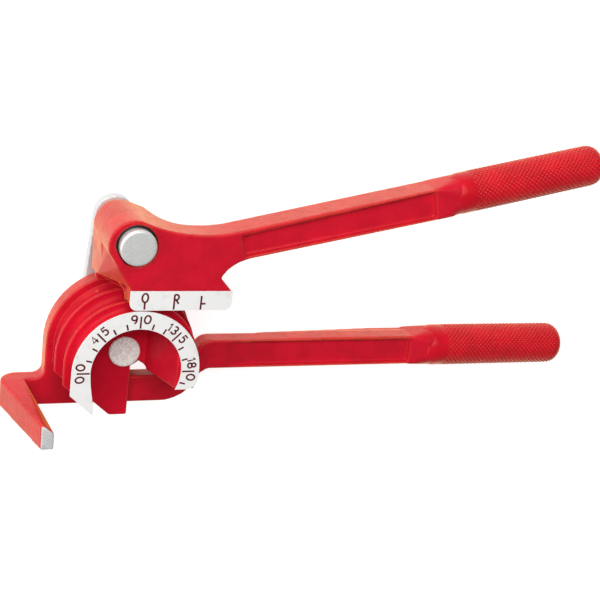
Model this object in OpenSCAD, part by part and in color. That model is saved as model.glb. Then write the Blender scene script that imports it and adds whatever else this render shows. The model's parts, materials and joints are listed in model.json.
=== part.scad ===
// Manual tube bender for three tube sizes, lying on its back.
// +Z is the direction of the pin axes, towards the dial. +X runs along the fixed handle.
// The origin is on the centre pin's axis, at the level that the tool rests on.

/* [Tube seats] */
// Tube that fits the front groove, outside diameter
tube_small = 6; // [5.6:0.1:6]
// Tube that fits the middle groove, outside diameter
tube_middle = 8; // [7.6:0.1:8]
// Tube that fits the rear groove, outside diameter
tube_large = 10; // [9.6:0.1:10]
// Bend radius of the small tube, at its centre line
bend_small = 25; // [24.8:0.1:25]
// Bend radius of the middle tube, at its centre line
bend_middle = 26.5; // [26.3:0.1:26.5]
// Bend radius of the large tube, at its centre line
bend_large = 28; // [27.8:0.1:28.2]
// Radial room between a tube and its groove
groove_play = 0.05; // [0.02:0.01:0.08]

/* [Pins and link] */
// Distance from the centre pin to the lever pin
link_length = 51; // [50.9:0.1:51.4]
// Diameter of both pins
pin_d = 6.4; // [6:0.1:6.6]
// Radial running clearance of a pin in its bore
pin_play = 0.05; // [0.02:0.01:0.08]
// Thickness of the steel link
link_t = 5; // [4.6:0.1:5]
// Diameter of the lever pin's front head
lever_head_d = 14; // [13:0.2:14]
// Diameter of the centre pin's front head
centre_head_d = 12.6; // [12:0.2:13]

/* [Handles] */
// Distance from the centre pin to the fixed handle's far end
fixed_reach = 207.4; // [195:0.2:225]
// Distance from the lever's bend to the lever's far end
lever_reach = 136.2; // [125:0.2:150]
// Diameter of the fixed handle's grip
fixed_grip_d = 18; // [17:0.2:18.4]
// Diameter of the lever's grip
lever_grip_d = 16.8; // [16:0.2:17.6]
// Height of the lever's bar where it leaves the head
bar_h = 11.2; // [10.6:0.1:11.4]
// Depth of the recessed panel in each handle
panel_depth = 2.2; // [1:0.2:4]

/* [Hidden] */
$fn = 64;

// Levels along the pin axes, from the rear
rear_head_t = 1;
washer_t = 0.8;
link_z = rear_head_t + washer_t;
spacer_z = link_z + link_t;
spacer_t = 0.4;
frame_z = 7.3;
plate_z = 15.3;
bar_front_z = 16.1;
web_z = 23.75;
face_z = 44.5;
dial_t = 0.5;
dial_z = face_z + dial_t;

// Levels of the three grooves and of the ridges between them
small_z = 40.1;
middle_z = 31.25;
large_z = 20.3;
small_r = tube_small / 2 + groove_play;
middle_r = tube_middle / 2 + groove_play;
large_r = tube_large / 2 + groove_play;
ridge_small_z = 37.2;
ridge_middle_z = 27.35;
flange_r = 29.5;

// Dial and recess
dial_inner_r = 17.75;
recess_end_y = -7.7;
leg_right_x = 3.15;
leg_bottom_y = -28;
cut_x = -24.6;
cut_y = -9.8;
cut_slope = -0.8845;
tip_x = -15.75;

// Lever
pin_r = pin_d / 2;
bore_r = pin_r + pin_play;
pin_x = -3.9;
pin_y = sqrt(link_length * link_length - pin_x * pin_x);
lever_angle = 13.2;
lever_x = 58.5;
lever_y = 56.75;
bar_t = 13.5;
bar_rear_z = dial_z - bar_t;
head_place = [-5, 50.9];
head_r = 9.75;
boss_r = 7;
boss_z = 7.25;
shoe_z = 16.7;
shoe_left_x = -14;
shoe_gap = 0.4;
band_left_x = -5;
band_right_x = 35.2;
band_top_y = 33.2;
grip_start = 65;
counterbore_r = 8;
counterbore_z = 43.3;
pin_top_z = 47.8;
lever_grip_z = 38.75;
lever_grip_v = -0.3;

// Fixed handle
hook_top_y = -14.9;
hook_bottom_y = -26.3;
hook_left_x = -46.4;
hook_round = 7.5;
hook_front_z = 53.5;
handle_rear_z = 3.4;
handle_step_x = 61;
handle_ramp_end_x = 116;
sweep_top_y = 0.5;
bar_high_y = 1;
bar_low_y = -12.1;
fixed_grip_x = 136;
fixed_grip_z = 10.2;
tang_r = 5.5;
grip_y = -5.3;
grip_round = 5.5;

// Points of a circular arc from angle a0 to angle a1, in steps of about 6 degrees
function arc(c, r, a0, a1) = let (n = ceil(abs(a1 - a0) / 6))
    [for (i = [0:n]) c + r * [cos(a0 + (a1 - a0) * i / n), sin(a0 + (a1 - a0) * i / n)]];

// Points of a cubic curve with end points a and d and handles b and c
function curve(a, b, c, d, n = 10) = [for (i = [0:n]) let (t = i / n, s = 1 - t)
    s * s * s * a + 3 * s * s * t * b + 3 * s * t * t * c + t * t * t * d];

function polar(r, a) = r * [cos(a), sin(a)];

// Height of the slanted cut below the dial's left end
function cut_line(x) = cut_y + (x - cut_x) * cut_slope;

// A 2D shape as a slab between two levels
module slab(z0, z1) translate([0, 0, z0]) linear_extrude(z1 - z0) children();

// A 2D shape drawn in X and Z, as a prism along Y
module side_prism(y0, y1) translate([0, y1, 0]) rotate([90, 0, 0]) linear_extrude(y1 - y0) children();

module disc(r, z0, z1) translate([0, 0, z0]) cylinder(r = r, h = z1 - z0);

module washer(x, y, r, z0, z1) translate([x, y, 0]) difference() {
    disc(r, z0, z1);
    disc(pin_r + 0.02, z0 - 1, z1 + 1);
}

// ---- Forming wheel ----

// The three steps: radius and upper level of each
steps = [[bend_small, face_z], [bend_middle, ridge_small_z], [bend_large, ridge_middle_z]];
grooves = [[bend_small, small_r, small_z], [bend_middle, middle_r, middle_z],
    [bend_large, large_r, large_z]];

module round_rim() difference() {
    intersection() {
        union() for (s = steps) disc(s[0], plate_z, s[1]);
        slab(plate_z - 1, dial_z + 1)
            polygon([[-40, 0], [0, 0], [0, recess_end_y], [40, recess_end_y], [40, 40], [-40, 40]]);
    }
    for (g = grooves)
        translate([0, 0, g[2]]) rotate_extrude($fn = 96) translate([g[0], 0]) circle(g[1]);
}

// The recess inside the dial. Its right wall leans, so that the floor is narrower.
module recess() intersection() {
    slab(web_z, dial_z + 5) polygon(concat(
        arc([0, 0], dial_inner_r, -25.7, 180),
        [[-17.3, -5], [-16, -12.5], [tip_x, cut_line(tip_x)], [tip_x, -40], [40, -40],
         [40, recess_end_y]]));
    union() {
        side_prism(recess_end_y, 40)
            polygon([[-40, web_z - 1], [8.3, web_z - 1], [8.7, web_z], [18.2, dial_z + 5], [-40, dial_z + 5]]);
        slab(web_z - 1, dial_z + 5) polygon([[-40, -41], [40, -41], [40, recess_end_y], [-40, recess_end_y]]);
    }
}

// The wheel's casting is modelled as three solids that meet on flat faces: the round rim, the web
// with its leg, and the straight lead-in.
web_left_x = -13;
web_right_x = 8.5;
web_top_y = 5;
screw_places = [polar(14.5, 70), polar(14.5, 160), [-3.5, -20]];

module screw_holes() for (p = screw_places) translate([p.x, p.y, 0]) disc(1.7, plate_z - 1, 22);

// The window between the leg and the recess's right wall
module web_window() slab(plate_z - 1, web_z + 1)
    polygon([[leg_right_x, -12], [leg_right_x, -5.2], [5.4, -4], [8.6, -6], [11, -9]]);

module forming_wheel() color("crimson") difference() {
    round_rim();
    recess();
    web_window();
    slab(plate_z - 1, web_z + 1) polygon([[web_left_x, -30], [web_right_x, -30], [web_right_x, web_top_y],
        [web_left_x, web_top_y]]);
    screw_holes();
}

module wheel_web() color("crimson") difference() {
    slab(plate_z, web_z) polygon([[web_left_x, web_top_y], [web_right_x, web_top_y],
        [web_right_x, recess_end_y], [leg_right_x, recess_end_y], [leg_right_x, leg_bottom_y],
        [-4, leg_bottom_y], [web_left_x, cut_line(web_left_x)]]);
    web_window();
    disc(bore_r, plate_z - 1, web_z + 1);
    screw_holes();
}

// The straight stretch of the grooves, which holds the tube before the bend starts
module wheel_lead_in() color("crimson") difference() {
    for (s = steps) slab(plate_z, s[1]) polygon([[-s[0], 0], [web_left_x, 0],
        [web_left_x, cut_line(web_left_x)], [-s[0], cut_line(-s[0])]]);
    recess();
    for (g = grooves)
        translate([-g[0], 1, g[2]]) rotate([90, 0, 0]) cylinder(r = g[1], h = 40);
}

// Countersunk screws that hold the wheel to the fixed handle, put in from the rear
module wheel_screws() color("silver") for (p = screw_places) translate([p.x, p.y, 0]) difference() {
    union() {
        disc(1.7, 9.6, 21.5);
        translate([0, 0, frame_z + 0.1]) cylinder(r1 = 3.9, r2 = 1.7, h = 2.2);
    }
    disc(1.3, frame_z - 1, frame_z + 1.4);
}

// ---- Fixed handle, with the plate behind the wheel and the tube hook ----

module plate_outline() polygon(concat(
    arc([0, 0], flange_r, -14, 180),
    arc([-flange_r - 3.5, hook_top_y + 3.5], 3.5, 0, -90),
    [[-38, hook_top_y], [-38, hook_bottom_y], [19, hook_bottom_y]],
    curve([22, -26.1], [26, -25], [30, -23.4], [31.5, -20]),
    curve([33.5, -16], [35, -13.4], [37, -12], [40, -12])));

module bar_outline() polygon(concat(
    curve([32, -8], [32.4, -3.4], [34, sweep_top_y], [38.5, sweep_top_y]),
    [[59.5, sweep_top_y], [90, bar_high_y], [fixed_grip_x + 2, bar_high_y],
     [fixed_grip_x + 2, bar_low_y], [38, bar_low_y], [32, -16]]));

// The hook's front end is smaller than its root, and its inner corner is cut off
module hook_toe() hull() {
    slab(frame_z + hook_round, plate_z) polygon([[-37.2, hook_bottom_y], [hook_left_x, hook_bottom_y],
        [hook_left_x, hook_top_y], [-37.2, hook_top_y]]);
    slab(hook_front_z - 0.05, hook_front_z)
        polygon([[-31.4, -27.2], [-36.4, -27.2], [-36.4, -17.3], [-35.3, -17.3], [-31.4, -20.5]]);
}

module hook_root() side_prism(hook_bottom_y, hook_top_y) polygon(concat(
    [[-37, plate_z], [-37, frame_z]],
    arc([hook_left_x + hook_round, frame_z + hook_round], hook_round, 270, 180),
    [[hook_left_x, plate_z]]));

module fixed_handle() color("crimson") difference() {
    union() {
        slab(frame_z, plate_z) plate_outline();
        slab(frame_z, bar_front_z) bar_outline();
        // The bar gets deeper beyond the link's reach
        side_prism(bar_low_y, sweep_top_y) polygon([[handle_step_x, frame_z + 1],
            [handle_step_x, frame_z - 0.4], [handle_ramp_end_x, handle_rear_z],
            [fixed_grip_x + 2, handle_rear_z], [fixed_grip_x + 2, frame_z + 1]]);
        hook_root();
        hook_toe();
        translate([fixed_grip_x, grip_y, fixed_grip_z]) rotate([0, 90, 0]) cylinder(r = tang_r, h = 60);
    }
    // Window beside the leg
    slab(frame_z - 1, plate_z + 1)
        polygon([[2, -14.9], [2, -8.5], [6, -5.6], [12, -5.6], [18.5, -12], [18.5, -14.9]]);
    // Recessed panel, which gets deeper away from the wheel
    side_prism(bar_low_y + 1, sweep_top_y - 0.8) polygon([[46, bar_front_z + 1], [46, bar_front_z - 0.4],
        [60, bar_front_z - panel_depth], [fixed_grip_x - 1, bar_front_z - panel_depth],
        [fixed_grip_x - 1, bar_front_z + 1]]);
    disc(bore_r, frame_z - 1, plate_z + 1);
    for (p = screw_places) translate([p.x, p.y, 0]) {
        disc(1.75, frame_z - 1, plate_z + 1);
        translate([0, 0, frame_z - 0.2]) cylinder(r1 = 4.25, r2 = 1.75, h = 2.5);
    }
}

// Outline of a grip: neck, flare, straight stretch and rounded end, in distance and radius
module grip_solid(len, d) rotate([0, 90, 0]) rotate_extrude() polygon(concat(
    [[0, len], [0, 0], [d / 2 - 1.3, 0]],
    curve([d / 2 - 1, 1], [d / 2 - 0.5, 2.4], [d / 2, 3.4], [d / 2, 5.5]),
    arc([d / 2 - grip_round, len - grip_round], grip_round, 0, 84)));

module fixed_grip() color("firebrick") translate([fixed_grip_x + 2, grip_y, fixed_grip_z]) difference() {
    grip_solid(fixed_reach - fixed_grip_x - 2, fixed_grip_d);
    translate([-1, 0, 0]) rotate([0, 90, 0]) cylinder(r = tang_r + 0.02, h = 59.2);
}

// ---- Dial and its marks ----

module dial_outline() polygon(concat(
    arc([0, 0], bend_small, -10, 180),
    [[-bend_small, cut_line(-bend_small) + 0.3], [tip_x, cut_line(tip_x)], [-16, -12.5], [-17.3, -5]],
    arc([0, 0], dial_inner_r, 180, -25.7),
    [[21.2, recess_end_y], [23.6, -6.6]]));

module degree_dial() color("white") slab(face_z, dial_z) dial_outline();

// A mark every 15 degrees from the 0 mark on the left. Marks at multiples of 45 degrees are longer.
module dial_ticks() color("maroon") for (i = [0:13]) rotate([0, 0, 180 - 15 * i])
    translate([dial_inner_r + 0.3, -0.2, dial_z])
        cube([i % 3 == 0 ? 5.2 : 2.4, 0.4, 0.1]);

// ---- Pins, washers and link ----

module centre_pin() color("silver") union() {
    disc(5.5, 0, rear_head_t);
    disc(pin_r, rear_head_t - 0.5, web_z + 0.6);
    disc(centre_head_d / 2, web_z + 0.08, web_z + 1);
    translate([0, 0, web_z + 1]) cylinder(r1 = centre_head_d / 2, r2 = centre_head_d / 2 - 0.4, h = 0.4);
}

module centre_spacer() color("silver") washer(0, 0, 10, spacer_z, spacer_z + spacer_t);

module centre_rear_washer() color("silver") washer(0, 0, 7.5, rear_head_t, link_z);

module lever_pin() color("silver") translate([pin_x, pin_y, 0]) union() {
    disc(5.5, 0, rear_head_t);
    disc(pin_r, rear_head_t - 0.5, counterbore_z + 1);
    disc(lever_head_d / 2, counterbore_z + 0.4, pin_top_z - 0.5);
    translate([0, 0, pin_top_z - 0.5]) cylinder(r1 = lever_head_d / 2, r2 = lever_head_d / 2 - 0.5, h = 0.5);
}

// Black spring ring round the lever pin's head, in the counterbore
module lever_pin_ring() color("black") translate([pin_x, pin_y, 0]) difference() {
    disc(counterbore_r - 0.12, counterbore_z + 0.06, counterbore_z + 1);
    disc(lever_head_d / 2 + 0.05, counterbore_z - 1, counterbore_z + 2);
}

module lever_spacer() color("silver") washer(pin_x, pin_y, 6, spacer_z, spacer_z + spacer_t - 0.02);

module lever_rear_washer() color("silver") washer(pin_x, pin_y, 7.5, rear_head_t, link_z);

link_angle = atan2(pin_y, pin_x);
link_end_r = 8;
link_foot_r = 16;
// Direction, from the link's centre line, of the points where its straight edges touch its round ends
link_touch = acos((link_foot_r - link_end_r) / link_length);

module link_plate() color("lightgray") difference() {
    slab(link_z, spacer_z) rotate([0, 0, link_angle]) polygon(concat(
        arc([0, 0], link_foot_r, link_touch, 360 - link_touch),
        arc([link_length, 0], link_end_r, -link_touch, link_touch)));
    disc(pin_r + 0.02, 0, spacer_z + 1);
    translate([pin_x, pin_y, 0]) disc(pin_r + 0.02, 0, spacer_z + 1);
}

// ---- Bending lever ----

module in_lever() translate([lever_x, lever_y, 0]) rotate([0, 0, lever_angle]) children();

function lever_point(u, v) = [lever_x + u * cos(lever_angle) - v * sin(lever_angle),
    lever_y + u * sin(lever_angle) + v * cos(lever_angle)];

bar_top_start = lever_point(-26, bar_h / 2);
bar_bottom_start = lever_point(-16, -6.2);
pin_place = [pin_x, pin_y];
head_side = [-10.6, 42.6];
// The concave top edge, from the bar to the round head
head_top = curve(bar_top_start, [18, 53.9], [5.5, 57], head_place + polar(head_r, 66));

// Front view of the head and the bar. low_y is the level of the shoe's lower face.
module lever_outline(low_y) polygon(concat(
    [lever_point(grip_start + 2, bar_h / 2)],
    head_top,
    arc(head_place, head_r, 72, 196),
    [head_side, [band_left_x - 0.4, 34.4], [band_left_x, band_top_y], [band_left_x, low_y + 2.5]],
    [[band_left_x + 2.5, low_y], [band_right_x - 3, low_y], [band_right_x, low_y + 3]],
    [[band_right_x, 32.6]],
    curve([30, 38.3], [32, 42], [35.5, 45.5], bar_bottom_start),
    [lever_point(grip_start + 2, -7.3)]));

// Rear part of the head. It gets shallower from the boss to the bar.
module head_rear() intersection() {
    slab(shoe_z, bar_rear_z + 1) polygon(concat(
        arc(head_place, head_r, 72, 180),
        [[shoe_left_x, 40], [10, 40], [28, 46]], head_top));
    side_prism(20, 80) polygon(concat([[-30, bar_rear_z + 2], [-30, shoe_z - 1], [4.2, shoe_z - 1]],
        curve([4.6, shoe_z - 0.5], [6, 24], [8, 30.5], [16, bar_rear_z])));
}

// The shoe's block. Each step has its own lower face, level with the bend radius of its tube.
module shoe_block() {
    slab(ridge_small_z + 0.3, dial_z) lever_outline_below(bend_small + shoe_gap);
    slab(ridge_middle_z + 0.3, ridge_small_z + 0.3) polygon([[-11.5, 44], [-10, 38],
        [band_left_x, bend_middle + 3], [band_left_x, bend_middle + shoe_gap],
        [band_right_x, bend_middle + shoe_gap], [band_right_x, 32.6], [30, 38.3], [28, 44]]);
    slab(shoe_z, ridge_middle_z + 0.3) polygon([[shoe_left_x, 44], [shoe_left_x, 34],
        [band_left_x, bend_large + shoe_gap], [band_right_x - 0.1, bend_large + shoe_gap],
        [band_right_x - 0.1, 32.6], [30, 38.3], [28, 44]]);
    slab(shoe_z, 25) polygon([[shoe_left_x, 40], [shoe_left_x, 31], [-12, bend_large + shoe_gap],
        [0, bend_large + shoe_gap], [0, 40]]);
}

module lever_outline_below(low_y) intersection() {
    lever_outline(low_y);
    translate([-20, 0]) square([60, 44]);
}

// Boss round the lever pin. It is open on the side that passes over the fixed handle.
module boss() translate([pin_x, pin_y, 0]) intersection() {
    disc(boss_r, boss_z, shoe_z + 2);
    slab(0, 30) polygon([[0, 0], polar(20, 68), polar(20, 120), polar(20, 180), polar(20, 225),
        polar(20, 255)]);
}

module bending_lever() color("crimson") difference() {
    union() {
        slab(bar_rear_z, dial_z) lever_outline(bend_middle + 3);
        head_rear();
        shoe_block();
        boss();
        in_lever() translate([grip_start, lever_grip_v, lever_grip_z]) rotate([0, 90, 0])
            cylinder(r = tang_r, h = 62);
    }
    for (g = grooves)
        translate([-40, g[0], g[2]]) rotate([0, 90, 0]) cylinder(r = g[1], h = 90);
    // Seat of the index plate
    slab(face_z, dial_z + 1) polygon([[band_left_x - 1, 20], [band_right_x + 1, 20],
        [band_right_x + 1, band_top_y], [band_left_x - 1, band_top_y]]);
    // Recessed panel
    in_lever() slab(dial_z - panel_depth, dial_z + 1)
        polygon([[-22, -4.9], [grip_start - 1, -6.5], [grip_start - 1, 4.8], [-22, 3.6]]);
    translate([pin_x, pin_y, 0]) {
        disc(bore_r, boss_z - 1, dial_z);
        disc(counterbore_r, counterbore_z, dial_z + 1);
    }
}

module lever_grip() color("firebrick") in_lever()
        translate([grip_start + 2, lever_grip_v, lever_grip_z]) difference() {
    grip_solid(lever_reach - grip_start - 2, lever_grip_d);
    translate([-3, 0, 0]) rotate([0, 90, 0]) cylinder(r = tang_r + 0.02, h = 63.2);
}

module index_plate() color("white") slab(face_z, dial_z) polygon(concat(
    [[band_right_x, band_top_y], [band_left_x, band_top_y]],
    arc([band_left_x + 3, bend_small + shoe_gap + 3], 3, 180, 270),
    arc([band_right_x - 3, bend_small + shoe_gap + 3], 3, 270, 360)));

// Marks for a straight, a right-hand and a left-hand bend
index_x = [0.8, 12.2, 22.8];

module index_ticks() color("maroon") for (x = index_x)
    translate([x - 0.2, bend_small + shoe_gap + 0.4, dial_z]) cube([0.4, 3.6, 0.1]);

forming_wheel();
wheel_web();
wheel_lead_in();
wheel_screws();
fixed_handle();
fixed_grip();
degree_dial();
centre_pin();
centre_spacer();
centre_rear_washer();
link_plate();
lever_pin();
lever_pin_ring();
lever_spacer();
lever_rear_washer();
bending_lever();
index_plate();
lever_grip();
dial_ticks();
index_ticks();
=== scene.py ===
"""Manual tube bender lying on its back on a pale floor."""

import json
import math

import bmesh
import bpy
import numpy as np
from mathutils import Matrix, Vector


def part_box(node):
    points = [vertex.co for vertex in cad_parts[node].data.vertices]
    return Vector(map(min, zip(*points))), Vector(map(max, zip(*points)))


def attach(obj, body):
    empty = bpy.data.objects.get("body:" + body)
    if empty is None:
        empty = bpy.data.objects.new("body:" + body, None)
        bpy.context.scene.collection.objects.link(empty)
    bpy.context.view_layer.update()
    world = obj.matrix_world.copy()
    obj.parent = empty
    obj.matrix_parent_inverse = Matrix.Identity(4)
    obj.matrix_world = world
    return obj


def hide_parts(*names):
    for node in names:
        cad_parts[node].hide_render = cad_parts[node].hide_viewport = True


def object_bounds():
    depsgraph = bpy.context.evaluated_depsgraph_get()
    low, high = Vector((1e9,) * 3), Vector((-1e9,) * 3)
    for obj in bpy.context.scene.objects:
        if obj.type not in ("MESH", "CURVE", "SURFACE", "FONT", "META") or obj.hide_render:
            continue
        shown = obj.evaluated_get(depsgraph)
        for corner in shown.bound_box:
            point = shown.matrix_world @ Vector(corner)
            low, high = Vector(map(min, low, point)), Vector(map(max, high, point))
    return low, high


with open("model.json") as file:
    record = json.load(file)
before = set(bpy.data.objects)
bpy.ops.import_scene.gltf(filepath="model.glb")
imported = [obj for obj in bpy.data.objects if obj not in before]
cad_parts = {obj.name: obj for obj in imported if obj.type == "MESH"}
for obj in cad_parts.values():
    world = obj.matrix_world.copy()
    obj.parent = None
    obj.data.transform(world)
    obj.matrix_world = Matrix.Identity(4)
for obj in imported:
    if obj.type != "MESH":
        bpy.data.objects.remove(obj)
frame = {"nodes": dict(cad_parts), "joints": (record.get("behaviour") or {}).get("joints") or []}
cad_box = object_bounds()

MM = 0.001

# ---- Places worked out from the frame ----

HANDLE_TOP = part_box("fixed_handle")[1].z
DIAL_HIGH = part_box("degree_dial")[1]
INDEX_LOW, INDEX_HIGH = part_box("index_plate")
DIAL_TOP = DIAL_HIGH.z
DIAL_RADIUS = DIAL_HIGH.y
DIAL_INNER_RADIUS = 0.71 * DIAL_RADIUS
LEVER_PIN = Vector(next(j["pos_m"] for j in frame["joints"] if j["name"] == "lever_pivot"))
CENTRE_PIN = Vector((0, 0, 0))

# The lever's straight bar runs from this point at this angle
LEVER_ANGLE = math.radians(13.2)
LEVER_BEND = Vector((58.5, 56.75, 0)) * MM
LEVER_FRAME = Matrix.Translation(LEVER_BEND) @ Matrix.Rotation(LEVER_ANGLE, 4, "Z")


# ---- Mesh helpers ----

# Share of the way to its neighbours' mean that a vertex moves in one softening step
SOFTEN_SHARE = 0.5
# CAD vertices closer than this are one vertex
WELD_DISTANCE = 0.001 * MM
TURNED_SIDES = 128
CORNER_STEPS = 4


def link_object(name, mesh):
    piece = bpy.data.objects.new(name, mesh)
    bpy.context.scene.collection.objects.link(piece)
    return piece


def finish_piece(piece, material, body, slot, *nodes):
    """Gives a piece its material and its body, and hides the CAD nodes that it stands for. slot is
    not used.
    """
    if not piece.data.materials:
        piece.data.materials.append(material)
    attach(piece, body)
    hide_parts(*nodes)


def evaluated_mesh(piece):
    """The piece's mesh with its modifiers applied, as a new mesh."""
    graph = bpy.context.evaluated_depsgraph_get()
    return bpy.data.meshes.new_from_object(piece.evaluated_get(graph))


def vertex_array(mesh):
    points = np.empty(len(mesh.vertices) * 3, np.float32)
    mesh.vertices.foreach_get("co", points)
    return points.reshape(-1, 3).astype(float)


def set_vertices(mesh, points):
    mesh.vertices.foreach_set("co", points.astype(np.float32).ravel())
    mesh.update()


def soften(mesh, steps):
    """Rounds a dense mesh's edges: each step moves every vertex towards its neighbours' mean."""
    edges = np.empty(len(mesh.edges) * 2, np.int32)
    mesh.edges.foreach_get("vertices", edges)
    a, b = edges.reshape(-1, 2).T
    ends = np.concatenate([a, b])
    points = vertex_array(mesh)
    count = np.bincount(ends, minlength=len(points))[:, None]
    for _ in range(steps):
        total = np.empty_like(points)
        for axis in range(3):
            neighbours = np.concatenate([points[b, axis], points[a, axis]])
            total[:, axis] = np.bincount(ends, neighbours, len(points))
        points += SOFTEN_SHARE * (total / count - points)
    set_vertices(mesh, points)


def add_hull(target, points):
    """Adds the convex hull of points, in metres, to a bmesh."""
    hull = bmesh.new()
    for p in points:
        hull.verts.new(p)
    bmesh.ops.convex_hull(hull, input=hull.verts)
    mesh = bpy.data.meshes.new("hull")
    hull.to_mesh(mesh)
    hull.free()
    target.from_mesh(mesh)
    bpy.data.meshes.remove(mesh)


def cast_skin(name, nodes, voxel, steps, extras=()):
    """One soft-edged skin over CAD nodes and the hulls of extra points, as on a casting."""
    joined = bmesh.new()
    for node in nodes:
        joined.from_mesh(frame["nodes"][node].data)
    for points in extras:
        add_hull(joined, points)
    bmesh.ops.remove_doubles(joined, verts=joined.verts, dist=WELD_DISTANCE)
    rough = bpy.data.meshes.new(name)
    joined.to_mesh(rough)
    joined.free()
    piece = link_object(name, rough)
    remesh = piece.modifiers.new("skin", "REMESH")
    remesh.mode = "VOXEL"
    remesh.voxel_size = voxel
    skin = evaluated_mesh(piece)
    piece.modifiers.remove(remesh)
    piece.data = skin
    bpy.data.meshes.remove(rough)
    skin.name = name
    skin.materials.clear()
    soften(skin, steps)
    skin.shade_smooth()
    return piece


def ring_mesh(name, rings):
    """A closed skin through rings of points, each with the same number of points."""
    rings = np.asarray(rings, float)
    count, around = rings.shape[:2]
    index = np.arange(count * around).reshape(count, around)
    low, high = index[:-1], index[1:]
    quads = np.stack([low, np.roll(low, -1, 1), np.roll(high, -1, 1), high], -1).reshape(-1, 4)
    faces = quads.tolist() + [index[0][::-1].tolist(), index[-1].tolist()]
    mesh = bpy.data.meshes.new(name)
    mesh.from_pydata(rings.reshape(-1, 3).tolist(), [], faces)
    mesh.shade_smooth()
    return link_object(name, mesh)


def rounded(profile, radius):
    """The (distance, height) profile with each inner corner rounded to at most that radius."""
    profile = [Vector(p) for p in profile]
    points = [profile[0]]
    for before, corner, after in zip(profile, profile[1:], profile[2:]):
        cut = min(radius, (before - corner).length * 0.45, (after - corner).length * 0.45)
        start = corner + (before - corner).normalized() * cut
        end = corner + (after - corner).normalized() * cut
        for i in range(CORNER_STEPS + 1):
            t = i / CORNER_STEPS
            points.append(start.lerp(corner, t).lerp(corner.lerp(end, t), t))
    return points + [profile[-1]]


def turned(name, profile, centre):
    """A turned piece: the profile, (radius, height) in mm, goes round a vertical axis."""
    angles = np.linspace(0, 2 * math.pi, TURNED_SIDES, endpoint=False)
    rings = []
    for radius, height in profile:
        ring = np.stack([np.cos(angles) * radius, np.sin(angles) * radius,
                         np.full(TURNED_SIDES, height)], -1) * MM
        rings.append(ring + [centre.x, centre.y, 0])
    return ring_mesh(name, rings)


# ---- Materials ----

# Pointiness at which an outer edge's worn paint and painted highlight start to show, and at which
# they show in full
EDGE_POINTINESS = (0.51, 0.58)


class Surface:
    """A principled material with its pattern nodes. Coordinates are the piece's own, in metres."""

    def __init__(self, name):
        self.material = bpy.data.materials.new(name)
        self.material.use_nodes = True
        self.nodes = self.material.node_tree.nodes
        self.links = self.material.node_tree.links
        self.shader = self.nodes["Principled BSDF"]
        self.place = self.nodes.new("ShaderNodeTexCoord").outputs["Object"]

    def set(self, **values):
        for socket, value in values.items():
            self.shader.inputs[socket.replace("_", " ")].default_value = value

    def join(self, source, socket):
        self.links.new(source, self.shader.inputs[socket])

    def stretched(self, scale, turn):
        """The piece's coordinates, turned and scaled, for a pattern with a direction."""
        mapping = self.nodes.new("ShaderNodeMapping")
        mapping.inputs["Scale"].default_value = scale
        mapping.inputs["Rotation"].default_value = turn
        self.links.new(self.place, mapping.inputs["Vector"])
        return mapping.outputs["Vector"]

    def noise(self, size, detail, place=None):
        """Noise with features of about that size, in metres."""
        node = self.nodes.new("ShaderNodeTexNoise")
        node.inputs["Scale"].default_value = 1 / size
        node.inputs["Detail"].default_value = detail
        self.links.new(place or self.place, node.inputs["Vector"])
        return node.outputs["Fac"]

    def ramp(self, source, low, high, start=0.0, end=1.0):
        """source between low and high, spread over start to end."""
        node = self.nodes.new("ShaderNodeMapRange")
        node.interpolation_type = "SMOOTHSTEP"
        node.inputs["From Min"].default_value = low
        node.inputs["From Max"].default_value = high
        node.inputs["To Min"].default_value = start
        node.inputs["To Max"].default_value = end
        self.links.new(source, node.inputs["Value"])
        return node.outputs["Result"]

    def math(self, operation, a, b):
        node = self.nodes.new("ShaderNodeMath")
        node.operation = operation
        for socket, value in zip(node.inputs, (a, b)):
            if isinstance(value, (int, float)):
                socket.default_value = value
            else:
                self.links.new(value, socket)
        return node.outputs["Value"]

    def blend(self, factor, a, b):
        """Colour a where factor is 0 and b where it is 1. A colour is an (r, g, b) or a socket."""
        node = self.nodes.new("ShaderNodeMix")
        node.data_type = "RGBA"
        self.links.new(factor, node.inputs["Factor"])
        for socket, value in ((node.inputs[6], a), (node.inputs[7], b)):
            if isinstance(value, tuple):
                socket.default_value = (*value, 1)
            else:
                self.links.new(value, socket)
        return node.outputs[2]

    def bump(self, height, depth, under=None):
        """A bump of that depth, in metres, on top of the bump under it."""
        node = self.nodes.new("ShaderNodeBump")
        node.inputs["Strength"].default_value = 1.0
        node.inputs["Distance"].default_value = depth
        self.links.new(height, node.inputs["Height"])
        if under:
            self.links.new(under, node.inputs["Normal"])
        return node.outputs["Normal"]

    def edges(self):
        """1 on outer edges of a dense mesh, 0 elsewhere."""
        node = self.nodes.new("ShaderNodeNewGeometry")
        return self.ramp(node.outputs["Pointiness"], *EDGE_POINTINESS)


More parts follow.
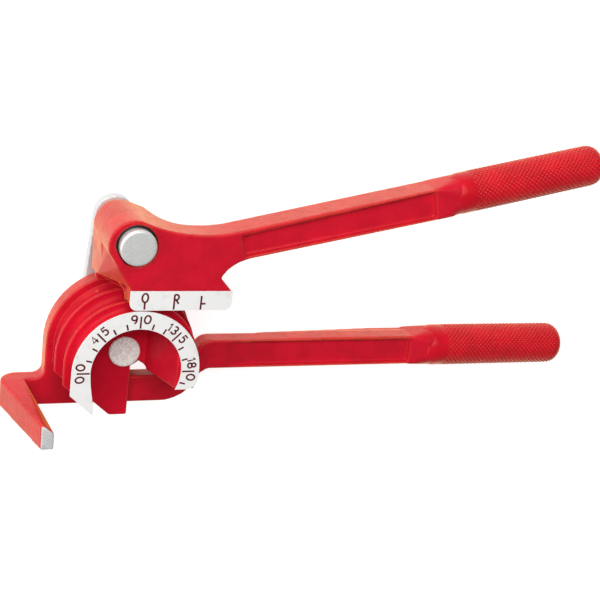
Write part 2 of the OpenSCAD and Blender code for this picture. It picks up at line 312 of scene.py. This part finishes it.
def red_enamel(name, colour=(0.59, 0.0065, 0.025), roughness=0.34, grain=0.03 * MM, edge=0.45,
               sheen=0.9, ior=1.34):
    """Red paint with a slight orange peel and orange at grazing angles; its outer edges are lighter
    and more orange, as worn paint with a painted highlight.
    """
    s = Surface(name)
    cloud = s.ramp(s.noise(9 * MM, 4), 0.35, 0.65)
    fine = s.noise(0.9 * MM, 4)
    dark = tuple(c * 0.86 for c in colour)
    # light: the outer edges' colour, worn paint with a painted highlight
    light = (min(1, colour[0] * 1.2), 0.14, 0.05)
    base = s.blend(cloud, dark, colour)
    edge_wear_and_highlight = s.math("MULTIPLY", s.edges(), s.ramp(fine, 0.3, 0.6, 0.35 * edge, edge))
    s.join(s.blend(edge_wear_and_highlight, base, light), "Base Color")
    matt = s.ramp(s.noise(3 * MM, 5), 0.3, 0.7, roughness - 0.07, roughness + 0.08)
    s.join(matt, "Roughness")
    peel = s.bump(s.noise(1.6 * MM, 2), grain * 3)
    s.join(s.bump(s.noise(0.45 * MM, 3), grain, under=peel), "Normal")
    s.set(IOR=ior, Specular_Tint=(1.0, 0.7, 0.5, 1), Sheen_Weight=sheen,
          Sheen_Roughness=0.32, Sheen_Tint=(0.85, 0.47, 0.08, 1))
    return s.material


def scuffed_steel(name, colour, roughness, mottle, size=0.7, depth=0.02 * MM, metallic=0.45):
    """Steel with fine mottling, as left by riveting and handling."""
    s = Surface(name)
    spots = s.ramp(s.noise(size * MM, 5), 0.35, 0.65)
    dark = tuple(c * (1 - 0.45 * mottle) for c in colour)
    s.join(s.blend(spots, dark, colour), "Base Color")
    matt = s.ramp(s.noise(size * 0.6 * MM, 4), 0.3, 0.7, roughness - 0.08, roughness + 0.12)
    s.join(matt, "Roughness")
    s.join(s.bump(s.noise(size * 0.8 * MM, 5), depth), "Normal")
    s.set(Metallic=metallic)
    return s.material


def brushed_steel(name, colour, roughness, turn):
    """Steel with long fine scratches at that angle in the tool's plane."""
    s = Surface(name)
    along = s.stretched((1, 14, 14), (0, 0, -turn))
    scratches = s.noise(2.5 * MM, 6, along)
    dark = tuple(c * 0.8 for c in colour)
    s.join(s.blend(s.ramp(scratches, 0.35, 0.65), dark, colour), "Base Color")
    matt = s.ramp(s.noise(6 * MM, 3), 0.3, 0.7, roughness - 0.05, roughness + 0.1)
    s.join(matt, "Roughness")
    s.join(s.bump(scratches, 0.02 * MM), "Normal")
    s.set(Metallic=0.3)
    return s.material


def white_enamel(name):
    """White paint with faint random grey patches and a few specks."""
    s = Surface(name)
    grey_patches = s.ramp(s.noise(5 * MM, 5), 0.5, 0.8)
    specks = s.ramp(s.noise(0.5 * MM, 2), 0.66, 0.74)
    base = s.blend(grey_patches, (0.81, 0.805, 0.79), (0.68, 0.675, 0.66))
    s.join(s.blend(specks, base, (0.62, 0.58, 0.55)), "Base Color")
    s.join(s.ramp(s.noise(2 * MM, 4), 0.3, 0.7, 0.3, 0.45), "Roughness")
    s.join(s.bump(s.noise(0.8 * MM, 3), 0.02 * MM), "Normal")
    return s.material


def mark_paint(name):
    """The dark red paint of the marks, slightly worn."""
    s = Surface(name)
    worn = s.ramp(s.noise(0.35 * MM, 4), 0.5, 0.75)
    s.join(s.blend(worn, (0.10, 0.004, 0.010), (0.20, 0.02, 0.03)), "Base Color")
    s.join(s.ramp(s.noise(0.6 * MM, 2), 0.3, 0.7, 0.35, 0.5), "Roughness")
    return s.material


def black_ring(name):
    """Blackened spring steel."""
    s = Surface(name)
    black = s.blend(s.noise(0.6 * MM, 4), (0.006, 0.006, 0.007), (0.03, 0.03, 0.032))
    s.join(black, "Base Color")
    s.join(s.ramp(s.noise(1 * MM, 3), 0.3, 0.7, 0.3, 0.5), "Roughness")
    s.set(Metallic=0.6)
    return s.material


def bare_end(name):
    """The hook's end, ground back to bare metal."""
    s = Surface(name)
    strokes = s.noise(1.6 * MM, 5, s.stretched((1, 9, 1), (0, 0, 0.4)))
    bare = s.blend(s.ramp(strokes, 0.3, 0.7), (0.52, 0.52, 0.51), (0.78, 0.78, 0.77))
    s.join(bare, "Base Color")
    s.join(s.ramp(s.noise(0.8 * MM, 3), 0.3, 0.7, 0.42, 0.6), "Roughness")
    s.join(s.bump(strokes, 0.03 * MM), "Normal")
    s.set(Metallic=0.35)
    return s.material


def pale_floor_material(name):
    """A grey floor that glows, so that it reads as white and takes only a faint shadow."""
    s = Surface(name)
    s.join(s.blend(s.noise(300 * MM, 2), (0.42, 0.42, 0.42), (0.45, 0.45, 0.45)), "Base Color")
    s.set(Roughness=0.9, Specular_IOR_Level=0.1, Emission_Color=(1, 1, 1, 1),
          Emission_Strength=0.8)
    return s.material


# edge: how far outer edges go towards worn paint with a painted highlight
wheel_red = red_enamel("wheel_red", edge=0.7, sheen=0.1, ior=1.2)
handle_red = red_enamel("handle_red", edge=0.7, sheen=0.95)
lever_red = red_enamel("lever_red", edge=0.6)
grip_red = red_enamel("grip_red", colour=(0.58, 0.004, 0.018), roughness=0.30, grain=0.02 * MM,
                      edge=0.25)
pin_steel = scuffed_steel("lever_pin_steel", (0.80, 0.80, 0.79), 0.34, 0.25, size=0.5)
# The centre pin is near-white and not metallic: its pale steel, painted brighter so that it reads
# light in the hollow's shade
rivet_steel = scuffed_steel("centre_pin_steel", (1.0, 0.98, 0.92), 0.34, 0.6, size=0.8,
                            depth=0.05 * MM, metallic=0.0)
washer_steel = scuffed_steel("washer_zinc", (0.55, 0.55, 0.54), 0.4, 0.3)
screw_steel = scuffed_steel("screw_zinc", (0.50, 0.50, 0.50), 0.38, 0.3)
link_steel = brushed_steel("link_steel", (0.69, 0.69, 0.69), 0.38, math.radians(94))
dial_white = white_enamel("dial_white")
marks = mark_paint("mark_paint")
ring_black = black_ring("ring_black")
hook_bare = bare_end("hook_bare")


# ---- Castings ----

# Voxel sizes of the skins. The castings' keep each piece under the export's 200 000 faces.
WHEEL_VOXEL = 0.385 * MM
HANDLE_VOXEL = 0.45 * MM
LEVER_VOXEL = 0.435 * MM
LINK_VOXEL = 0.34 * MM
CASTING_STEPS = 6
LINK_STEPS = 4

# The bars' ends, as (low, high) across and (low, high) deep, and the grips that follow them: where
# a grip starts along the bar, its axis across and deep, and the neck's radius. All in mm.
FIXED_BAR = ((-12.1, 0.9), (3.4, 16.1))
FIXED_GRIP_START = 138
FIXED_GRIP_AXIS = (-5.3, 10.2)
FIXED_NECK_RADIUS = 8.75
LEVER_BAR = ((-7.2, 5.6), (31.5, 45))
LEVER_GRIP_START = 67
LEVER_GRIP_END = 136.2
LEVER_GRIP_AXIS = (-0.3, 38.75)
LEVER_NECK_RADIUS = 8.15
# How far a neck reaches back into its bar, and on into its grip, in mm
NECK_BACK = 8
NECK_ON = 5.2
NECK_SIDES = 32
# How far the bare metal goes down from the hook's front end
BARE_END_DEPTH = 0.45 * MM


def make_wheel():
    nodes = ("forming_wheel", "wheel_web", "wheel_lead_in")
    piece = cast_skin("wheel_casting", nodes, WHEEL_VOXEL, CASTING_STEPS)
    finish_piece(piece, wheel_red, "fixed", "wheel_paint", *nodes)


def neck_points(matrix, bar, start, centre, radius):
    """Points of a neck from a bar's flat end to a round grip that starts at start."""
    points = [(start - NECK_BACK, across, deep) for across in bar[0] for deep in bar[1]]
    for turn in np.linspace(0, 2 * math.pi, NECK_SIDES, endpoint=False):
        across = centre[0] + radius * math.cos(turn)
        points.append((start + NECK_ON, across, centre[1] + radius * math.sin(turn)))
    return [matrix @ (Vector(p) * MM) for p in points]


def make_fixed_handle():
    neck = neck_points(Matrix.Identity(4), FIXED_BAR, FIXED_GRIP_START, FIXED_GRIP_AXIS,
                       FIXED_NECK_RADIUS)
    piece = cast_skin("handle_casting", ["fixed_handle"], HANDLE_VOXEL, CASTING_STEPS, [neck])
    paint_bare_end(piece)
    finish_piece(piece, handle_red, "fixed", "handle_paint", "fixed_handle")


def paint_bare_end(piece):
    """The hook's front end is bare metal."""
    mesh = piece.data
    mesh.materials.append(handle_red)
    mesh.materials.append(hook_bare)
    centres = np.empty(len(mesh.polygons) * 3, np.float32)
    mesh.polygons.foreach_get("center", centres)
    bare = centres[2::3] > HANDLE_TOP - BARE_END_DEPTH
    mesh.polygons.foreach_set("material_index", bare.astype(np.int32))


# The head's left side: corners of the smooth cheek between the shoe and the boss, in mm
CHEEK = [
    (-13.6, 52, 44.6), (-12.4, 48, 44.6), (-10.6, 42.4, 44.7), (-5.3, 34.5, 44.7),
    (-14.5, 50, 17), (-14.2, 46, 27.7), (-14.1, 34.2, 17), (-14.1, 34.2, 27.7),
    (-11.8, 44, 37.6), (-10.3, 38, 37.6), (-12.1, 50.5, 17), (-12.1, 50.5, 44),
    (-10.5, 44.5, 17), (-10.5, 44.5, 44), (-4, 38, 17), (-4, 38, 44),
]
# Two low ribs on the cheek: end points, half width, height, and how deep the foot sits, in mm
RIBS = [((-13.6, 51.5, 36.0), (-11.6, 40.5, 39.4)), ((-13.3, 52.0, 38.5), (-9.9, 40.6, 43.4))]
RIB_HALF_WIDTH = 0.35
RIB_HEIGHT = 0.55
RIB_FOOT = 1


def rib_points(start, end):
    """Corners of a low rib between two points, standing out to the left."""
    section = ((RIB_FOOT, 0, -RIB_HALF_WIDTH), (RIB_FOOT, 0, RIB_HALF_WIDTH), (-RIB_HEIGHT, 0, 0))
    return [(Vector(end_point) + Vector(corner)) * MM
            for end_point in (start, end) for corner in section]


def make_lever():
    neck = neck_points(LEVER_FRAME, LEVER_BAR, LEVER_GRIP_START, LEVER_GRIP_AXIS, LEVER_NECK_RADIUS)
    extras = [[Vector(p) * MM for p in CHEEK], neck] + [rib_points(*rib) for rib in RIBS]
    piece = cast_skin("lever_casting", ["bending_lever"], LEVER_VOXEL, CASTING_STEPS, extras)
    finish_piece(piece, lever_red, "lever", "lever_paint", "bending_lever")


# ---- Grips ----

# The knurling, in mm: where it starts, and ends before the tip, and how long it takes to fade
KNURL_DEPTH = 0.42
KNURL_PITCH = 2.0
KNURL_START = 8
KNURL_END_GAP = 2.0
KNURL_FADE = 2.5
# The height in the pattern, 0 to 1, that keeps the smooth grip's radius
KNURL_LEVEL = 0.75
SAMPLES_PER_RIDGE = 8
# A grip's flare from the neck: (distance, how much less than the full radius), in mm
GRIP_FLARE = [(0, 1.2), (1.0, 0.9), (2.2, 0.5), (3.4, 0.2), (5.0, 0)]
GRIP_TIP_ROUNDING = 5.5
GRIP_TIP_STEPS = 22
GRIP_TIP_DEGREES = 88


def grip_profile(length, diameter):
    """Distances along a grip, and its radii there, in mm: flare, straight stretch, rounded tip."""
    radius, tip = diameter / 2, GRIP_TIP_ROUNDING
    step = KNURL_PITCH / SAMPLES_PER_RIDGE
    flare = np.array(GRIP_FLARE)
    straight = np.arange(flare[-1, 0] + step, length - tip, step)
    arc = np.radians(np.linspace(0, GRIP_TIP_DEGREES, GRIP_TIP_STEPS))
    distance = [flare[:, 0], straight, length - tip + tip * np.sin(arc)]
    radii = [radius - flare[:, 1], np.full(len(straight), radius), radius - tip + tip * np.cos(arc)]
    return np.concatenate(distance), np.concatenate(radii)


def triangle_wave(t):
    return 1 - np.abs(2 * (t % 1) - 1)


def knurled_grip(name, node, matrix, length, diameter, body):
    """A grip along matrix's X axis, cut with diamond knurling. length and diameter are in mm."""
    distance, radii = grip_profile(length, diameter)
    ridges = round(math.pi * diameter / KNURL_PITCH)
    around = ridges * SAMPLES_PER_RIDGE
    turn = np.arange(around) / around
    u = triangle_wave(ridges * turn[None, :] + distance[:, None] / KNURL_PITCH)
    v = triangle_wave(ridges * turn[None, :] - distance[:, None] / KNURL_PITCH)
    diamonds = np.minimum(u, v)
    diamonds = diamonds * diamonds * (3 - 2 * diamonds)
    fade_in = np.clip((distance - KNURL_START) / KNURL_FADE, 0, 1)
    fade_out = np.clip((length - KNURL_END_GAP - distance) / KNURL_FADE, 0, 1)
    height = (diamonds - KNURL_LEVEL) * (fade_in * fade_out)[:, None] * KNURL_DEPTH
    reach = radii[:, None] + height
    angle = 2 * math.pi * turn
    rings = np.stack([np.broadcast_to(distance[:, None], reach.shape),
                      reach * np.cos(angle), reach * np.sin(angle)], -1)
    piece = ring_mesh(name, rings * MM)
    piece.data.transform(matrix)
    finish_piece(piece, grip_red, body, node, node)


def make_grips():
    low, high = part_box("fixed_grip")
    centre = (low + high) / 2
    length, diameter = (high.x - low.x) / MM, (high.z - low.z) / MM
    place = Matrix.Translation((low.x, centre.y, centre.z))
    knurled_grip("fixed_grip_knurled", "fixed_grip", place, length, diameter, "fixed")
    low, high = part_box("lever_grip")
    length, diameter = LEVER_GRIP_END - LEVER_GRIP_START, (high.z - low.z) / MM
    start = Vector((LEVER_GRIP_START, LEVER_GRIP_AXIS[0], (low.z + high.z) / 2 / MM)) * MM
    place = LEVER_FRAME @ Matrix.Translation(start)
    knurled_grip("lever_grip_knurled", "lever_grip", place, length, diameter, "lever")


# ---- Pins, washers, link, screws ----

# Both pins, in mm: the shaft, the rear head, and how near a profile's ends come to the axis
SHAFT_RADIUS = 3.2
REAR_HEAD_RADIUS = 5.5
REAR_HEAD_HEIGHT = 1
NEAR_AXIS = 0.02
# The centre pin's front head starts just above the hollow's floor
CENTRE_HEAD_LOW = 23.8
CENTRE_HEAD_RADIUS = 6.3
LEVER_HEAD_LOW = 43.8
LEVER_HEAD_RADIUS = 7


def pin_profile(front_head):
    """A pin's (radius, height) profile: rear head and shaft, then the front head's points."""
    rear = [(NEAR_AXIS, 0), (REAR_HEAD_RADIUS, 0), (REAR_HEAD_RADIUS, REAR_HEAD_HEIGHT),
            (SHAFT_RADIUS, REAR_HEAD_HEIGHT), (SHAFT_RADIUS, front_head[0][1])]
    return rear + front_head


def make_pins():
    low, top = CENTRE_HEAD_LOW, CENTRE_HEAD_LOW + 1.37
    head = [(CENTRE_HEAD_RADIUS, low), (CENTRE_HEAD_RADIUS, low + 0.9),
            (CENTRE_HEAD_RADIUS - 0.55, top), (NEAR_AXIS, top)]
    piece = turned("centre_rivet", rounded(pin_profile(head), 0.22), CENTRE_PIN)
    finish_piece(piece, rivet_steel, "link", "pin_steel", "centre_pin")
    low, top = LEVER_HEAD_LOW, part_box("lever_pin")[1].z / MM
    head = [(LEVER_HEAD_RADIUS, low), (LEVER_HEAD_RADIUS, top - 0.62),
            (LEVER_HEAD_RADIUS - 0.55, top - 0.12), (LEVER_HEAD_RADIUS - 1.0, top),
            (NEAR_AXIS, top)]
    piece = turned("lever_rivet", rounded(pin_profile(head), 0.2), LEVER_PIN)
    finish_piece(piece, pin_steel, "link", "pin_steel", "lever_pin")


def soft_cad(node, material, width):
    """Keeps a CAD node, with its own material and slightly rounded edges. width is in mm."""
    piece = frame["nodes"][node]
    piece.data.materials.clear()
    piece.data.materials.append(material)
    weld = piece.modifiers.new("weld", "WELD")
    weld.merge_threshold = 0.002 * MM
    bevel = piece.modifiers.new("edges", "BEVEL")
    bevel.width = width * MM
    bevel.segments = 2
    bevel.limit_method = "ANGLE"
    bevel.angle_limit = math.radians(35)


def make_link():
    piece = cast_skin("link_steel_plate", ["link_plate"], LINK_VOXEL, LINK_STEPS)
    finish_piece(piece, link_steel, "link", "link_steel", "link_plate")


def make_small_parts():
    for node in ("centre_spacer", "centre_rear_washer", "lever_spacer", "lever_rear_washer"):
        soft_cad(node, washer_steel, 0.12)
    soft_cad("wheel_screws", screw_steel, 0.15)
    soft_cad("lever_pin_ring", ring_black, 0.1)
    soft_cad("degree_dial", dial_white, 0.12)
    soft_cad("index_plate", dial_white, 0.12)


# ---- Marks on the dial and the index plate ----

# The dial's marks, in mm from its inner edge. Every third one is long, up to the one at 180.
MARK_COUNT = 14
LAST_LONG_MARK = 12
MARK_STEP_DEGREES = 15
MARK_START = 0.35
SHORT_MARK_END = 2.7
LONG_MARK_END = 5.3
DIAL_MARK_HALF_WIDTH = 0.36 * MM
INDEX_MARK_HALF_WIDTH = 0.38 * MM
# The dial's numbers, one half on each side of its long mark: (degrees, before, after)
NUMBERS = ((0, "0", "0"), (45, "4", "5"), (90, "9", "0"), (135, "13", "5"), (180, "18", "0"))
DIGIT_HEIGHT = 3.2
DIGIT_RADIUS = 21.9
DIGIT_OFFSET = 2.55
DIGIT_SPACING = 2.3
# A stroke's paint layer: a share of its round section is kept, and flattened
PAINT_CUT = 0.3
PAINT_FLATTENING = 0.35


def arc_points(centre, rx, ry, start, end, steps=18):
    angles = np.radians(np.linspace(start, end, steps))
    return [(centre[0] + rx * math.cos(a), centre[1] + ry * math.sin(a)) for a in angles]


# Strokes of each sign in a box one unit high, centred on the origin
SIGNS = {
    "0": [arc_points((0, 0), 0.37, 0.5, 0, 360, 28)],
    "1": [[(-0.2, 0.26), (0.04, 0.5), (0.04, -0.5)]],
    "3": [arc_points((-0.03, 0.25), 0.27, 0.25, 150, -90)
          + arc_points((-0.03, -0.24), 0.31, 0.26, 90, -150)],
    "4": [[(0.14, -0.5), (0.14, 0.5), (-0.34, -0.18), (0.34, -0.18)]],
    "5": [[(0.27, 0.5), (-0.2, 0.5), (-0.25, 0.06)]
          + arc_points((-0.01, -0.17), 0.31, 0.33, 130, -145)],
    "8": [arc_points((0, 0.25), 0.25, 0.25, -90, 270, 24),
          arc_points((0, -0.24), 0.31, 0.26, 90, 450, 24)],
    "9": [arc_points((0, 0.2), 0.31, 0.3, 0, 360, 24), arc_points((-0.12, 0.2), 0.43, 0.7, 0, -80)],
}


def stroke_piece(name, strokes, half_width, top):
    """Printed strokes: flat bands of paint. Each stroke is a list of (x, y) in metres."""
    curve = bpy.data.curves.new(name, "CURVE")
    curve.dimensions = "3D"
    curve.bevel_depth = half_width
    curve.bevel_resolution = 2
    curve.use_fill_caps = True
    for stroke in strokes:
        spline = curve.splines.new("POLY")
        spline.points.add(len(stroke) - 1)
        for point, (x, y) in zip(spline.points, stroke):
            point.co = (x, y, 0, 1)
    source = link_object(name + "_source", curve)
    mesh = evaluated_mesh(source)
    bpy.data.objects.remove(source)
    points = vertex_array(mesh)
    kept = PAINT_CUT * half_width
    points[:, 2] = top + np.clip(points[:, 2], -kept, kept) * PAINT_FLATTENING
    set_vertices(mesh, points)
    mesh.name = name
    return link_object(name, mesh)


def digit_strokes(sign, matrix):
    """A digit's strokes at the dial's digit height, placed in the tool's plane by matrix."""
    placed = []
    for stroke in SIGNS[sign]:
        points = [matrix @ (Vector((x, y, 0)) * DIGIT_HEIGHT * MM) for x, y in stroke]
        placed.append([(p.x, p.y) for p in points])
    return placed


def digit_matrix(degrees, along):
    """Places a digit, its top outwards, along mm clockwise of a mark. degrees start at the left."""
    turn = math.radians(90 - degrees) - along / DIGIT_RADIUS
    return Matrix.Rotation(turn, 4, "Z") @ Matrix.Translation((0, DIGIT_RADIUS * MM, 0))


def make_dial_marks():
    strokes = []
    for i in range(MARK_COUNT):
        is_long = i % 3 == 0 and i <= LAST_LONG_MARK
        ends = (MARK_START, LONG_MARK_END if is_long else SHORT_MARK_END)
        turn = math.radians(180 - MARK_STEP_DEGREES * i)
        direction = Vector((math.cos(turn), math.sin(turn)))
        strokes.append([tuple(direction * (DIAL_INNER_RADIUS / MM + end) * MM) for end in ends])
    for degrees, before, after in NUMBERS:
        for i, sign in enumerate(reversed(before)):
            place = digit_matrix(degrees, -DIGIT_OFFSET - DIGIT_SPACING * i)
            strokes += digit_strokes(sign, place)
        strokes += digit_strokes(after, digit_matrix(degrees, DIGIT_OFFSET))
    piece = stroke_piece("dial_marks", strokes, DIAL_MARK_HALF_WIDTH, DIAL_TOP)
    finish_piece(piece, marks, "fixed", "mark_paint", "dial_ticks")


def make_index_marks():
    """Marks for a straight, a right-hand and a left-hand bend."""
    bowl = [(0, 6.4), (0.7, 6.4)] + arc_points((0.75, 5.35), 0.95, 1.05, 90, -90, 12) + [(0, 4.3)]
    # Each mark's distance along the plate, and its strokes from there, in mm
    signs = (
        (5.8, [[(0, 0.5), (0, 3.35)], arc_points((0, 5.1), 1.15, 1.75, 0, 360, 28)]),
        (17.2, [[(0, 0.4), (0, 6.4)], bowl, [(0.7, 4.3), (1.75, 2.7)]]),
        (27.8, [[(0, 0.3), (0, 5.9)], [(0, 2.7), (1.8, 2.7)]]),
    )
    strokes = [[(INDEX_LOW.x + (along + x) * MM, INDEX_LOW.y + y * MM) for x, y in stroke]
               for along, sign in signs for stroke in sign]
    piece = stroke_piece("index_marks", strokes, INDEX_MARK_HALF_WIDTH, INDEX_HIGH.z)
    finish_piece(piece, marks, "lever", "mark_paint", "index_ticks")


# ---- Floor, lights and camera ----

# Half the floor's side in metres, wide enough to hide its edge, and its gap under the tool
FLOOR_REACH = 40.0
FLOOR_GAP = 0.1 * MM
WORLD_STRENGTH = 0.19


def make_floor():
    mesh = bpy.data.meshes.new("floor")
    height = cad_box[0].z - FLOOR_GAP
    corners = [(x * FLOOR_REACH, y * FLOOR_REACH, height)
               for x, y in ((-1, -1), (1, -1), (1, 1), (-1, 1))]
    mesh.from_pydata(corners, [], [(0, 1, 2, 3)])
    floor = link_object("floor", mesh)
    mesh.materials.append(pale_floor_material("pale_floor"))


def soft_light(name, place, target, size, power):
    lamp = bpy.data.lights.new(name, "AREA")
    lamp.shape = "SQUARE"
    lamp.size = size
    lamp.energy = power
    light = bpy.data.objects.new(name, lamp)
    bpy.context.scene.collection.objects.link(light)
    light.location = place
    light.rotation_euler = (Vector(target) - Vector(place)).to_track_quat("-Z", "Y").to_euler()


def make_lights():
    target = (0.05, 0.02, 0.03)
    soft_light("key", (-0.24, 0.65, 0.95), target, size=0.9, power=14)
    soft_light("left", (-0.95, 0.10, 0.55), target, size=0.7, power=4.5)
    world = bpy.data.worlds.new("studio")
    world.use_nodes = True
    background = world.node_tree.nodes["Background"]
    background.inputs["Color"].default_value = (1, 1, 1, 1)
    background.inputs["Strength"].default_value = WORLD_STRENGTH
    bpy.context.scene.world = world


def make_camera():
    """The camera that was worked out from the photo."""
    camera = bpy.data.cameras.new("camera")
    camera.lens = 78.4
    camera.sensor_width = 36
    camera.clip_start = 0.01
    place = Vector((-0.1227, 0.2000, 0.4918))
    look = Vector((0.3623, -0.3324, -0.8708)).normalized()
    up_hint = Vector((0.0042, 0.9348, -0.3551))
    right = look.cross(up_hint).normalized()
    up = right.cross(look)
    turn = Matrix((right, up, -look)).transposed()
    holder = bpy.data.objects.new("camera", camera)
    bpy.context.scene.collection.objects.link(holder)
    holder.matrix_world = Matrix.Translation(place) @ turn.to_4x4()
    bpy.context.scene.camera = holder


# ---- Build ----

make_wheel()
make_fixed_handle()
make_lever()
make_grips()
make_pins()
make_link()
make_small_parts()
make_dial_marks()
make_index_marks()
make_floor()
make_lights()
make_camera()

bpy.context.scene.view_settings.view_transform = "Standard"
